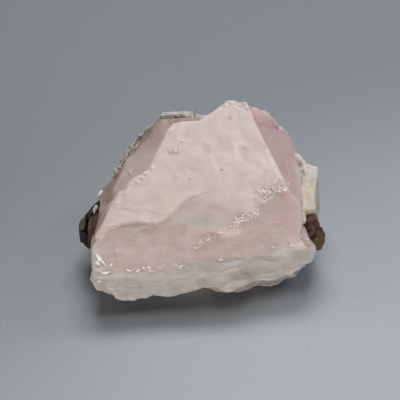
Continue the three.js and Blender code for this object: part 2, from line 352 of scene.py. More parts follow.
# Dark specks, each solid out to the first radius and gone at the second.
SPECK_SOLID, SPECK_GONE = 0.08, 0.34
SPECKS = [
    (5.9, 9.5, 24.8), (6.1, 9.1, 24.6), (-3.7, 4.4, 22.9), (4, -1.2, 20.8), (15.1, 2.5, 20.3),
    (9.9, 11.6, 24.8), (10.4, 11.7, 24.2), (17.3, -4.2, 18.3), (-10.2, 11.9, 18.1),
    (-10.4, 11.4, 18.2), (-8.2, 8.5, 21.1), (-6.8, 3, 22.1), (12.8, 10.9, 21.5), (9.3, 10.9, 25.4),
]
# Lumps and dents: place, radius and height.
LUMPS = [
    (-4.5, 2.8, 22.3, 0.7, 0.1), (-5.5, 2.6, 22.2, 1, 0.08), (-10.6, -1.9, 20.6, 0.7, 0.16),
    (-11.2, -2.8, 20.3, 0.6, 0.14), (-9.4, -0.9, 21, 0.8, 0.1), (-12.1, -3.5, 20, 0.8, 0.1),
    (-11.9, -1.6, 20.4, 0.7, -0.25), (-4.5, -2.3, 20.4, 0.45, 0.1), (-1.9, -2.7, 20.3, 0.4, 0.08),
    (0.5, 3.4, 22.5, 1.4, -0.07), (8.3, 2.8, 22.3, 1.3, -0.08), (-3.4, 5.6, 23.3, 1.5, -0.07),
    (-1.8, -1.2, 20.8, 0.9, -0.06), (7.7, 13, 26, 1.6, -0.4), (-6.4, 9.6, 24.1, 3.2, -0.6),
    (13.4, 14.6, 20, 2.4, 0.6), (15.1, 14.4, 18.2, 1.6, 0.5), (16.4, 15.3, 16.5, 1.1, -0.8),
    (10.4, 13, 23.9, 2.2, -0.9), (3.8, -15.6, 11.6, 0.7, 0.2), (14.8, -9, 15.5, 1.6, 0.16),
    (-15.8, -14.8, 13, 0.9, 0.18), (-13.9, 3.4, 15.3, 1, 0.3), (-14.6, 4.8, 14.6, 0.8, 0.25),
    (-13.9, 11.4, 13.9, 0.9, 0.3), (-12.6, 11.5, 15.4, 0.8, 0.3), (21.4, -12.8, 5.2, 3.4, -1.1),
    (14.5, -14.6, 1.9, 3, 0.6), (8, -16.2, 1.6, 3, 0.5), (19.5, -10.6, 12.7, 0.8, 0.16),
]


def points_of(mesh):
    """A mesh's points in mm."""
    found = np.empty(len(mesh.vertices) * 3)
    mesh.vertices.foreach_get("co", found)
    return found.reshape(-1, 3) / MM


def move_to(mesh, points):
    mesh.vertices.foreach_set("co", (points * MM).ravel())
    mesh.update()


def normals_of(mesh):
    found = np.empty(len(mesh.vertices) * 3)
    mesh.vertex_normals.foreach_get("vector", found)
    return found.reshape(-1, 3)


def add_block(target, corners):
    """Adds the closed block with the given corners, in mm, to a mesh that is being built."""
    verts = [target.verts.new(Vector(corner) * MM) for corner in corners]
    made = bmesh.ops.convex_hull(target, input=verts, use_existing_faces=False)
    spare = {item for item in made["geom_interior"] if isinstance(item, bmesh.types.BMVert)}
    bmesh.ops.delete(target, geom=list(spare), context="VERTS")


def mesh_made_by(holder):
    """The mesh that an object's modifiers make. The object and they are then removed."""
    seen = holder.evaluated_get(bpy.context.evaluated_depsgraph_get())
    mesh = bpy.data.meshes.new_from_object(seen)
    holder.modifiers.clear()
    bpy.data.objects.remove(holder)
    return mesh


def even_skin(name, voxel, blocks=(), node=None):
    """One even skin, of faces voxel mm across, round the blocks and the CAD node's solid."""
    copy = bmesh.new()
    if node:
        copy.from_mesh(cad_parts[node].data)
        bmesh.ops.remove_doubles(copy, verts=copy.verts, dist=SAME_PLACE * MM)
    for corners in blocks:
        add_block(copy, corners)
    merged = bpy.data.meshes.new(name)
    copy.to_mesh(merged)
    copy.free()
    holder = new_object(name + "_blank", merged)
    even = holder.modifiers.new("even", "REMESH")
    even.mode = "VOXEL"
    even.voxel_size = voxel * MM
    mesh = mesh_made_by(holder)
    mesh.materials.clear()
    return mesh


def thinned(mesh, triangles):
    """The same mesh with fewer triangles where it is flat."""
    mesh.calc_loop_triangles()
    share = triangles / len(mesh.loop_triangles)
    if share >= 1:
        return mesh
    holder = new_object("thinned", mesh)
    holder.modifiers.new("fewer", "DECIMATE").ratio = share
    return mesh_made_by(holder)


def smoothed(mesh, points, strength, rounds):
    """Points drawn towards the middle of their neighbours, as strongly as strength says."""
    pairs = np.empty(len(mesh.edges) * 2, np.int32)
    mesh.edges.foreach_get("vertices", pairs)
    first, second = pairs.reshape(-1, 2).T
    count = np.bincount(pairs, minlength=len(points))[:, None]
    for _ in range(rounds):
        total = np.column_stack([
            np.bincount(first, points[second, axis], len(points))
            + np.bincount(second, points[first, axis], len(points))
            for axis in range(3)
        ])
        points = points + strength * (total / count - points)
    return points


def softened(mesh, rounds):
    """A mesh's points in mm, once its steps are smoothed away."""
    points = smoothed(mesh, points_of(mesh), SOFTNESS, rounds)
    move_to(mesh, points)
    return points


def finished(name, mesh, material, sharp):
    """A piece that is smooth but for its edges of more than sharp degrees."""
    mesh.polygons.foreach_set("use_smooth", [True] * len(mesh.polygons))
    mesh.set_sharp_from_angle(angle=math.radians(sharp))
    mesh.materials.append(material)
    return new_object(name, mesh)


def climb(value, low, high):
    """A smooth climb from 0 at low to 1 at high."""
    share = np.clip((value - low) / (high - low), 0, 1)
    return share * share * (3 - 2 * share)


def turned(seed):
    """A fixed random turn, so that no two patterns line up."""
    made, _ = np.linalg.qr(np.random.default_rng(seed).normal(size=(3, 3)))
    return made


def lattice_value(corner, seed):
    """A fixed random value from -1 to 1 for each corner of a lattice."""
    i, j, k = (corner.astype(np.int64) * (73856093, 19349663, 83492791)).T
    mixed = (i ^ j ^ k ^ (seed * 97531)) & 0x7FFFFFFF
    mixed = (mixed ^ (mixed >> 13)) * 1274126177 & 0x7FFFFFFF
    mixed = (mixed ^ (mixed >> 16)) * 1103515245 & 0x7FFFFFFF
    return (mixed >> 8 & 0xFFFF) / 32767.5 - 1


def facets(points, cell, seed):
    """Flat facets of about cell mm that meet in creases, from about -1 to 1."""
    at = points @ turned(seed) / cell
    corner = np.floor(at)
    part = at - corner
    order = np.argsort(-part, axis=1)
    ranked = np.take_along_axis(part, order, 1)
    steps = np.column_stack([np.ones(len(at)), ranked, np.zeros(len(at))])
    rows = np.arange(len(at))
    height = np.zeros(len(at))
    for turn in range(4):
        share = steps[:, turn] - steps[:, turn + 1]
        height += share * lattice_value(corner, seed)
        if turn < 3:
            corner[rows, order[:, turn]] += 1
    return height


def swells(points, span, seed):
    """Smooth swells of about span mm, from about -1 to 1."""
    at = points @ turned(seed) / span
    corner = np.floor(at)
    part = at - corner
    part = part * part * (3 - 2 * part)
    height = np.zeros(len(at))
    for step in np.ndindex(2, 2, 2):
        share = np.prod(np.where(step, part, 1 - part), axis=1)
        height += share * lattice_value(corner + step, seed)
    return height


def line_distance(points, line):
    """How far each point is from a line through the given places."""
    nearest = np.full(len(points), np.inf)
    line = np.array(line, float)
    for start, end in zip(line[:-1], line[1:]):
        run = end - start
        share = np.clip((points - start) @ run / (run @ run), 0, 1)
        gap = points - start - share[:, None] * run
        nearest = np.minimum(nearest, np.linalg.norm(gap, axis=1))
    return nearest


def facing(face):
    """The way that a face looks, from its compass direction and dip."""
    turn, tilt = math.radians(face["azimuth"]), math.radians(face["dip"])
    return np.array([
        math.sin(tilt) * math.cos(turn), math.sin(tilt) * math.sin(turn), math.cos(tilt)
    ])


def height_over(points, face):
    return (points - face["through"]) @ facing(face)


def lying_on(points, normals, face):
    """1 on a flat face and 0 away from it."""
    close = 1 - climb(np.abs(height_over(points, face)), 0.2, 0.5)
    return close * climb(normals @ facing(face), 0.9, 0.98)


def flattened(points, marks):
    """Points with those on each flat face set exactly into its plane."""
    points = points.copy()
    lower = marks["left"] > 0.5
    lower[lower] = height_over(points[lower], LEFT_FACE) < -1
    step = np.median(height_over(points[lower], LEFT_FACE))
    for name, face in (
        ("main", MAIN_FACE), ("right", RIGHT_FACE), ("terrace", TERRACE), ("left", LEFT_FACE)
    ):
        above = height_over(points, face)
        if name == "left":
            above = np.where(above < 0.5 * step, above - step, above)
        share = marks[name] * (1 - climb(np.abs(above), 0.25, 0.5))
        points -= (share * above)[:, None] * facing(face)
    return points


def near(points, line, reach):
    """1 on a line, and 0 farther from it than reach mm."""
    return 1 - climb(line_distance(points, line), 0.2 * reach, reach)


def near_any(points, lines, reach):
    return np.maximum.reduce([near(points, line, reach) for line in lines])


def line_level(x, line, axis):
    """The y (axis 1) or z (axis 2) of a line where it passes x."""
    line = sorted(line)
    return np.interp(x, [place[0] for place in line], [place[axis] for place in line])


def over_ledge(points, line):
    """How far each point is above a ledge's wavering line, in mm."""
    return points[:, 2] - line_level(points[:, 0], line, 2) + 0.4 * swells(points, 2.4, 23)


def crystal_marks(points, normals):
    """Where the crystal's kinds of surface are, each as a share from 0 to 1."""
    x, y, z = points.T
    main = lying_on(points, normals, MAIN_FACE)
    terrace = lying_on(points, normals, TERRACE) * (1 - main)
    right = lying_on(points, normals, RIGHT_FACE)
    behind = climb(normals @ BACK_FACING, 0.8, 0.95) * (1 - climb(x, -0.8, 1.6))
    behind *= 1 - 0.8 * climb(y, 12, 15)

    # The left face has a lower step and a brow over its front end.
    left = climb(normals @ facing(LEFT_FACE), 0.9, 0.97)
    left *= 1 - climb(np.abs(height_over(points, LEFT_FACE) + 0.9), 1.6, 2.4)
    brow = near(points, BROW_SIDE, 2.2) * climb(-normals[:, 0], 0.3, 0.5)
    left = np.maximum(left, brow)

    # The rim lies below the lip. Along its lower ledge there is a painted highlight on the edge and
    # painted shade under it.
    rim = (1 - climb(z - line_level(x, LIP_LINE, 2), -0.8, 0.4)) * climb(-y, 8, 11)
    over = over_ledge(points, RIM_LEDGES[1])
    ledge_reach = rim * climb(x, 0.6, 3)
    under = (1 - climb(over, -0.25, 0.05)) * ledge_reach
    ledge_highlight = climb(over, -0.1, 0.15) * (1 - climb(over, 0.3, 1.2)) * ledge_reach

    patchy = climb(swells(points, 1.8, 61) + 0.5 * swells(points, 0.7, 62), -0.5, 0.5)
    patch = near(points, CRUMBLED_PATCH, 1.9 + 0.5 * patchy) * (0.7 + 0.3 * patchy)
    ledge = near(points, CRUMBLED_LEDGE, 0.5 + 0.7 * patchy) * (0.4 + 0.6 * patchy)
    specks = np.zeros(len(points))
    for place in SPECKS:
        reach = np.linalg.norm(points - place, axis=1)
        specks = np.maximum(specks, 1 - climb(reach, SPECK_SOLID, SPECK_GONE))
    return dict(
        main=main, terrace=terrace, right=right, behind=behind, rim=rim, ledge_highlight=ledge_highlight, specks=specks,
        left=np.maximum(left, behind),
        under=np.maximum(under, 0.6 * near(points, SMOKE, 1.1)),
        crumbs=np.maximum(ledge, patch),
        strip=near(points, CRUMBLED_STRIP, 0.6 + 0.8 * patchy),
        sugared=near(points, SUGARED, 0.4 + 0.6 * patchy) * patchy,
        veils=near_any(points, VEILS, 0.5 + 0.6 * patchy),
        stains=near_any(points, STAINS, 1.7 + 1.2 * patchy) * left,
        lip=near(points, LIP_LINE, 1.2) * patchy,
        broken=1 - np.maximum.reduce([main, terrace, right, left, behind]),
    )


def crystal_relief(points, marks):
    """How far each point stands out of the plain solid, in mm."""
    x, y, z = points.T
    main, broken, rim = marks["main"], marks["broken"], marks["rim"]
    relief = 0.06 * swells(points, 5, 11) + 0.035 * swells(points, 1.8, 12)
    relief += 0.02 * marks["veils"] + 0.02 * broken * facets(points, 0.9, 26)
    relief += broken * (0.16 * swells(points, 3.2, 13) + 0.07 * facets(points, 2.4, 14))

    # The rim: facets drawn out along it, a loose lip and two ledges with a shade under each.
    drawn_out = points * (0.45, 1, 1)
    relief += rim * (0.28 * facets(drawn_out, 2.6, 15) + 0.17 * facets(drawn_out, 1.1, 16))
    relief += rim * 0.06 * facets(drawn_out, 0.5, 30)
    layer = ((z + 0.9 * swells(points, 4, 25)) / 1.7) % 1
    relief += rim * 0.16 * layer * climb(1 - layer, 0, 0.15)
    for ledge, depth, fade in zip(RIM_LEDGES, (0.25, 0.6), (2.4, 3.6)):
        over = over_ledge(points, ledge)
        span = climb(x, ledge[0][0], ledge[0][0] + 4) * climb(-y, 9, 12)
        raised = climb(over, -0.2, 0.1) * (1 - climb(over, 0.3, fade))
        relief += span * rim * depth * raised
    relief += marks["under"] * (0.14 * facets(points, 0.7, 27) - 0.35)
    relief += marks["lip"] * (0.22 * facets(points, 0.9, 20) + 0.1 * facets(points, 0.5, 21))

    hidden = np.clip(climb(y, 12, 16) + climb(-z, -4, -1), 0, 1)
    relief += broken * hidden * 0.24 * facets(points, 2.2, 17)
    crumbled = np.maximum(marks["crumbs"], 0.45 * marks["strip"])
    relief += 0.25 * marks["sugared"] * facets(points, 1.1, 28)
    relief += crumbled * (0.22 * facets(points, 0.9, 18) + 0.12 * facets(points, 0.5, 19))

    # A step on the left end of the main face, and one across the right face.
    below = line_level(x, INNER_LEDGE, 1) + 0.3 * swells(points, 1.5, 24) - y
    relief -= 0.06 * main * climb(below, -0.12, 0.12) * (1 - climb(x, -6.5, -5))
    beyond = y - line_level(x, RIGHT_FACE_STEP, 1)
    relief += 0.22 * marks["right"] * climb(beyond, -0.15, 0.15)
    relief += 0.35 * near(points, TIP_LINE, 1.2) * facets(points, 0.8, 29)
    for *place, radius, height in LUMPS:
        reach = np.linalg.norm(points - place, axis=1) / radius
        relief += height * (1 - climb(reach, 0, 1)) * (1 + 0.4 * swells(points, 0.6, 22))
    return relief


def add_mark(mesh, name, values):
    mesh.attributes.new(name, "FLOAT", "POINT").data.foreach_set(
        "value", values.astype(np.float32)
    )


BERYL_PINK = (0.8, 0.665, 0.655)
BERYL_GREY = (0.775, 0.68, 0.66)
BERYL_CREAM = (0.8, 0.72, 0.63)
BERYL_FRONT = (0.81, 0.7, 0.695)
BERYL_BLUSH = (0.83, 0.665, 0.67)
BERYL_BEIGE = (0.79, 0.695, 0.655)
BERYL_MILK = (0.62, 0.605, 0.6)
# Painted shade under the rim's lower ledge, also the colour of a smoky spot.
BERYL_SHADE_AND_SMOKE = (0.36, 0.33, 0.33)
# A painted highlight along the rim's lower ledge.
BERYL_LEDGE_HIGHLIGHT = (0.8, 0.78, 0.77)
BERYL_GREENISH = (0.69, 0.645, 0.6)
# The left face's two colours are partly its own warm, rusty tone and partly painted light, set
# paler than the main face to stand in for light that shines out through the crystal.
BERYL_WARM_AND_GLOW = (0.96, 0.77, 0.72)
# The right face's rose is partly its own pinker tone and partly painted shade that makes it darker.
BERYL_ROSE_AND_SHADE = (0.74, 0.54, 0.525)
BERYL_RUST_AND_GLOW = (0.9, 0.7, 0.63)
BERYL_BROWN = (0.43, 0.285, 0.225)
BERYL_VEIL = (0.97, 0.88, 0.88)
BERYL_CORNER = (0.8, 0.66, 0.67)
SPECK_BROWN = (0.1, 0.06, 0.045)
BERYL_IOR = 1.58
BERYL_DEPTH = 2.2


def crystal_finish():
    finish = Finish("morganite")
    noise, along, ramp, mark = finish.noise, finish.along, finish.ramp, finish.mark
    cloud = ramp(noise(5, detail=3), 0.35, 0.65)
    blush = ramp(noise(4.5, detail=2, seed=7), 0.42, 0.68)
    streaks = noise(0.9, detail=4, stretch=(0.28, 0.8, 0.8), seed=3)

    # The main face, creamier and streaked towards the front and paler at the left.
    lower = ramp(along((-0.15, -1, 0)), 0, 7)
    colour = finish.layered(BERYL_PINK, [
        (cloud * 0.8, BERYL_GREY), (ramp(streaks, 0.45, 0.62) * lower * 0.6, BERYL_CREAM)
    ])
    colour = finish.toned(colour, along((0.9, 0.4, 0)), -12, 10, 1.03, 0.935)

    # The broken front, veined, with a blush towards the right.
    veined = noise(0.9, detail=5, stretch=(0.25, 1, 1), seed=19)
    front = finish.blend(cloud, BERYL_FRONT, BERYL_BEIGE)
    front = finish.toned(front, veined, 0.35, 0.65, 0.95, 1.05)
    rightward = ramp(along((1, 0, 0)), 8, 14, 0.5, 1)
    front = finish.blend(blush * rightward, front, BERYL_BLUSH)

    greenish = mark("terrace") * (ramp(along((-1, 0, 0)), -12, 2) + 0.2)
    high_left = mark("left") * ramp(along((0, 0.743, 0.669)), 15.5, 20)
    outermost = mark("left") * ramp(along((-1, 0, 0)), 17.2, 18.6)
    crust_side = ramp(along((1, 0, 0)), 17.6, 20.4) * ramp(along((0, -1, 0)), -9, -5)
    corner = ramp(along((-0.9, 0, -0.43)), 14.8, 16.6) * mark("rim")
    colour = finish.layered(colour, [
        (mark("broken"), front),
        (greenish * ramp(streaks, 0.3, 0.7, 0.5, 1.1), BERYL_GREENISH),
        # The left face: its own warm, rusty tone, made paler with painted light.
        (mark("left"), finish.blend(blush, BERYL_WARM_AND_GLOW, BERYL_RUST_AND_GLOW)),
        (mark("stains") * ramp(cloud, 0, 1, 0.7, 1), BERYL_BROWN),
        (high_left * 0.36, BERYL_BROWN),
        (outermost * 0.5, BERYL_BROWN),
        (mark("behind") * 0.7, BERYL_BROWN),
        # The right face: pinker, and darker with painted shade.
        (mark("right"), BERYL_ROSE_AND_SHADE),
        (crust_side * 0.6, BERYL_BEIGE),
        (mark("crumbs") * 0.5, BERYL_VEIL),
        (mark("rim") * 0.9, BERYL_MILK),
        # Painted shade under the rim's lower ledge, and the smoky spot.
        (mark("under") * 0.85, BERYL_SHADE_AND_SMOKE),
        # Painted highlight along the ledge's edge.
        (mark("ledge_highlight") * 0.5, BERYL_LEDGE_HIGHLIGHT),
        (corner * 0.85, BERYL_CORNER),
        (mark("veils") * 0.3, BERYL_VEIL),
        (mark("specks") * 0.75, SPECK_BROWN),
    ])
    return finish.surface({
        "Base Color": finish.toned(colour, noise(2.4, detail=4, seed=11), 0.3, 0.7, 0.955, 1.04),
        "Roughness": ramp(noise(2.2, detail=3), 0.3, 0.7, 0.26, 0.4) + mark("broken") * 0.12,
        "IOR": BERYL_IOR,
        "Subsurface Weight": 1,
        "Subsurface Radius": (1, 0.93, 0.9),
        "Subsurface Scale": BERYL_DEPTH * MM,
        "Normal": finish.bump(noise(1, detail=4), 0.012),
    })


crystal_blocks = [SHOULDER, RIM_CORNER, *LEFT_EDGE_BLOCKS]
crystal_mesh = even_skin("crystal", CRYSTAL_VOXEL, crystal_blocks, "morganite_crystal")
crystal_points = softened(crystal_mesh, 2)
marks = crystal_marks(crystal_points, normals_of(crystal_mesh))
roundness = SOFTNESS * (marks["broken"] * (1 - 0.85 * marks["rim"]))[:, None]
crystal_points = flattened(smoothed(crystal_mesh, crystal_points, roundness, 8), marks)
move_to(crystal_mesh, crystal_points)
crystal_normals = normals_of(crystal_mesh)
marks = crystal_marks(crystal_points, crystal_normals)
relief = crystal_relief(crystal_points, marks)
crystal_points = crystal_points + relief[:, None] * crystal_normals
crystal_points[:, 2] = np.maximum(crystal_points[:, 2], 0)
move_to(crystal_mesh, crystal_points)
for mark_name, share in marks.items():
    add_mark(crystal_mesh, mark_name, share)
crystal_mesh = thinned(crystal_mesh, CRYSTAL_TRIANGLES)
crystal = finished("crystal", crystal_mesh, crystal_finish(), CRYSTAL_SHARP)
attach(crystal, "root")
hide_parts("morganite_crystal")
crystal_skin = BVHTree.FromObject(crystal, bpy.context.evaluated_depsgraph_get())

# ---- Crumbs and splinters ----
# Grains of crushed beryl that still fill the crumbled ledges, and sheaves of clean cleavage
# splinters that catch the light. Both are the crystal's own stone and stand out of its skin.

GRAIN_PALE = (0.96, 0.77, 0.755)
GRAIN_WHITE = (1, 0.9, 0.88)
GRAIN_IOR = 2
GRAINS_PER_MM2 = 18
GRAIN_SIZE = 0.58
GRAIN_JAGS_PER_M = 5000
# The splinters' near-white is partly painted highlight, standing in for light that their cleavage
# reflects from within.
GLINT_WHITE = (0.98, 0.93, 0.93)
GLINT_IOR = 2.1
SPLINTER_LEAN = 0.14
SPLINTER_WOBBLE = 0.02
SPLINTER_TOP, SPLINTER_ROOT = 0.16, -0.3
# Each sheaf's middle, turn in degrees, reach along and across that turn, how many splinters
# it has, and their length.
SHEAVES = [
    (-18.5, -16.6, 11.7, -52, 0.1, 0.06, 2, 2.9), (-19.3, -16.1, 12.2, -62, 0.3, 0.34, 5, 2.4),
    (-19.4, -16.9, 11.6, -50, 0.3, 0.4, 6, 1.1), (-18.9, -16.2, 12.1, -40, 0.8, 0.5, 6, 0.7),
    (-4.6, 2.8, 22.3, 12, 0.25, 0.12, 3, 0.5), (-17, -16.8, 11.1, 66, 0.15, 0.15, 2, 1.2),
    (-18.9, -17.8, 10.7, -15, 0.8, 0.4, 7, 0.7), (-17.8, -18.2, 10.3, 4, 0.3, 0.22, 4, 2.2),
    (-19.1, -19, 8.8, 12, 0.8, 0.25, 4, 0.8), (-13.7, -17.5, 10.2, -22, 0.2, 0.14, 3, 1.2),
    (-10.6, -16.9, 10.2, 0, 0.6, 0.3, 5, 0.6), (-9.8, -16.9, 10.1, 60, 0.3, 0.25, 4, 0.8),
    (-9.2, -17.3, 9.7, -20, 0.3, 0.12, 3, 0.7), (-7.2, -16.6, 10.4, 35, 0.8, 0.25, 5, 0.6),
    (-11.9, -17.2, 10, 10, 0.9, 0.25, 6, 0.6), (-15.7, -14.8, 13, -10, 0.4, 0.25, 4, 0.6),
    (-3.9, -16.7, 10.2, 15, 0.9, 0.25, 6, 0.7), (-4.6, 2.9, 22.3, 20, 0.2, 0.3, 5, 1),
    (-5.3, 2.7, 22.3, 0, 0.9, 0.5, 9, 0.6), (-4.5, -2.3, 20.4, 60, 0.1, 0.12, 2, 0.5),
    (-1.9, -2.7, 20.3, 40, 0.1, 0.1, 2, 0.4), (-10.6, -1.9, 20.6, -30, 0.3, 0.1, 3, 0.6),
    (-11.2, -2.7, 20.3, 10, 0.2, 0.15, 3, 0.5), (0.1, -13.5, 13.9, 40, 0.6, 0.3, 6, 0.6),
    (-0.6, -14.1, 13, 20, 0.5, 0.25, 5, 0.7), (1.4, -13.2, 14.4, 20, 0.4, 0.25, 4, 0.5),
    (4.2, -12.3, 15.7, 30, 1.2, 0.3, 6, 0.5), (6.4, -11.2, 16.8, 42, 1.2, 0.35, 12, 0.6),
    (10.9, -9.2, 17.6, 75, 1, 0.4, 10, 0.55), (13.8, -5.2, 19.4, 15, 1.8, 0.9, 20, 0.5),
    (4, -15.8, 11.3, 5, 0.7, 0.2, 6, 0.7), (14.2, -13.1, 11.9, 20, 0.3, 0.12, 4, 0.4),
    (12.7, 3.6, 22.6, -60, 0.5, 0.12, 4, 0.5), (13.6, 2, 22, -60, 0.4, 0.1, 3, 0.5),
    (14.8, -2.4, 20.4, -60, 0.5, 0.15, 5, 0.5), (-17.5, -10.9, 16.2, 20, 0.5, 0.25, 6, 0.5),
    (-13.8, 3.4, 15.4, 60, 0.5, 0.2, 5, 0.5), (-12.9, 11.4, 14.9, 45, 0.9, 0.15, 8, 0.5),
    (17.9, 14.9, 14.8, -30, 0.2, 0.1, 3, 0.5), (15, -9.4, 15, 30, 0.4, 0.25, 4, 0.4),
    (7.4, 13.4, 25.8, -5, 1.4, 0.15, 10, 0.6), (19.6, -11.1, 12.6, 40, 0.4, 0.2, 5, 0.4),
    (16.4, -13, 11.8, 10, 1.5, 0.15, 7, 0.6),
]


def glitter_finish(name, pale, white, ior):
    finish = Finish(name)
    share = finish.ramp(finish.noise(0.5, detail=2), 0.35, 0.65)
    return finish.surface({
        "Base Color": finish.blend(share, pale, white),
        "Roughness": 0.2,
        "IOR": ior,
    })


def grain_nodes(name, mark, material):
    """Small sharp grains, strewn over a mesh as thickly as one of its marks says."""
    nodes = Nodes(bpy.data.node_groups.new(name, "GeometryNodeTree"))
    node, tree = nodes.node, nodes.tree
    for label, kind in (("Surface", "Geometry"), ("Grains per mm2", "Float"), ("Size", "Float")):
        tree.interface.new_socket(label, in_out="INPUT", socket_type="NodeSocket" + kind)
    tree.interface.new_socket("Grains", in_out="OUTPUT", socket_type="NodeSocketGeometry")

    def chance(low, high, seed):
        return node(
            "FunctionNodeRandomValue",
            {"data_type": "FLOAT_VECTOR"},
            {0: (low,) * 3, 1: (high,) * 3, "Seed": seed},
        )

    given = tree.nodes.new("NodeGroupInput").outputs[:3]
    surface, density, size = (Value(nodes, socket) for socket in given)
    share = node("GeometryNodeInputNamedAttribute", {"data_type": "FLOAT"}, {"Name": mark})
    thickly = {"Mesh": surface, "Density": share * density * (1 / MM ** 2), "Seed": 5}
    luck = node("FunctionNodeRandomValue", {"data_type": "FLOAT"}, {2: 0.35, 3: 1, "Seed": 3}, 1)
    grain = node("GeometryNodeInstanceOnPoints", None, {
        "Points": node("GeometryNodeDistributePointsOnFaces", None, thickly),
        "Instance": node("GeometryNodeMeshIcoSphere", None, {"Radius": 0.5, "Subdivisions": 1}),
        "Rotation": node("FunctionNodeEulerToRotation", None, {0: chance(0, 6.28, 1)}),
        "Scale": nodes.scaled(chance(0.5, 1.2, 2), luck * luck * size),
    })
    grains = node("GeometryNodeRealizeInstances", None, {"Geometry": grain})
    swirl = node("TexNoise", None, {"Scale": GRAIN_JAGS_PER_M, "Detail": 0}, 1)
    jags = node("VectorMath", {"operation": "SUBTRACT"}, {0: swirl, 1: (0.5,) * 3})
    jags = nodes.scaled(jags, size * 0.5)
    grains = node("GeometryNodeSetPosition", None, {"Geometry": grains, "Offset": jags})
    grains = node("GeometryNodeSetShadeSmooth", None, {0: grains, "Shade Smooth": False})
    grains = node("GeometryNodeSetMaterial", None, {"Geometry": grains, "Material": material})
    tree.links.new(grains.socket, tree.nodes.new("NodeGroupOutput").inputs[0])
    return tree


def strewn(name, host, mark, material, density, size):
    """Grains strewn over a mesh where one of its marks is, as an object of their own."""
    holder = new_object(name + "_blank", host)
    strew = holder.modifiers.new("strew", "NODES")
    strew.node_group = grain_nodes(name, mark, material)
    given = [item for item in strew.node_group.interface.items_tree if item.in_out == "INPUT"]
    strew[given[1].identifier] = float(density)
    strew[given[2].identifier] = size * MM
    return new_object(name, mesh_made_by(holder))


grain_material = glitter_finish("crushed_beryl", GRAIN_PALE, GRAIN_WHITE, GRAIN_IOR)
crumbs = strewn("crumbs", crystal_mesh, "crumbs", grain_material, GRAINS_PER_MM2, GRAIN_SIZE)
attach(crumbs, "root")


def unit(vector):
    return vector / np.linalg.norm(vector)


# Each splinter's clean face is turned almost halfway between the camera and the small lamp.
sliver_solids = bmesh.new()
across = np.array([1.0, 0.0, 0.0])
outward = np.array(back_to_camera)
upward = np.cross(outward, across)
eye = np.array(camera.location) / MM
chance = np.random.default_rng(7)
for *middle, turn, reach, spread, count, length in SHEAVES:
    turn = math.radians(turn)
    run_way = math.cos(turn) * across + math.sin(turn) * upward
    side_way = math.cos(turn) * upward - math.sin(turn) * across
    for order in range(count):
        lean = turn + SPLINTER_LEAN * chance.normal()
        run_at = reach * chance.uniform(-0.9, 0.9)
        side_at = spread * ((2 * order + 1) / count - 1 + chance.uniform(-0.3, 0.3))
        start = Vector(middle + run_at * run_way + side_at * side_way + 4 * outward) * MM
        place, *_ = crystal_skin.ray_cast(start, Vector(-outward))
        if place is None:
            continue
        place = np.array(place) / MM
        shine = unit(eye - place) + unit(SMALL_LAMP - place)
        facing_way = unit(unit(shine) + SPLINTER_WOBBLE * chance.normal(size=3))
        level = unit(across - (across @ facing_way) * facing_way)
        steep = np.cross(facing_way, level)
        size = length * chance.uniform(0.6, 1)
        run = 0.5 * size * (math.cos(lean) * level + math.sin(lean) * steep)
        side = 0.07 + 0.5 * size * chance.uniform(0.03, 0.12)
        side = side * (math.cos(lean) * steep - math.sin(lean) * level)
        outline = [run, 0.3 * run + side, -0.8 * run + 0.6 * side, -run, -0.2 * run - side]
        add_block(sliver_solids, [
            place + corner + step * facing_way
            for corner in outline for step in (SPLINTER_TOP, SPLINTER_ROOT)
        ])
sliver_mesh = bpy.data.meshes.new("cleavage_slivers")
sliver_solids.to_mesh(sliver_mesh)
sliver_solids.free()
sliver_mesh.materials.append(glitter_finish("cleavage", GLINT_WHITE, GRAIN_WHITE, GLINT_IOR))
slivers = new_object("cleavage_slivers", sliver_mesh)
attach(slivers, "root")

# ---- Albite crusts ----
# Creamy white feldspar that grew on the crystal's right side and over its back left corner,
# sugary where it is broken. It is grown on, with no gap, and a few of its grains still cling
# to the crystal's left edge.

ALBITE_CREAM = (0.68, 0.585, 0.455)
ALBITE_WHITE = (0.65, 0.61, 0.56)
ALBITE_BRIGHT = (0.93, 0.92, 0.9)
ALBITE_BLUISH = (0.6, 0.61, 0.63)
ALBITE_OLIVE_AND_LIGHT = (0.64, 0.62, 0.565)
RUST_BROWN = (0.16, 0.085, 0.045)
MATRIX_SHARP = 28
SUNK = 0.15
RUST_ARC = [(19.9, 5.4, 13.9), (20.7, 5.2, 13.9), (21.3, 4.1, 13.9), (21.4, 2.9, 13.8)]
PALE_RIDGES = [
    [(19.4, 9.8, 14.5), (20.6, 8.4, 13.9), (22, 7.2, 13.9), (23.6, 6.4, 13.9)],
    [(-20.2, -1.2, 13.3), (-19.6, -0.2, 13.8)],
]
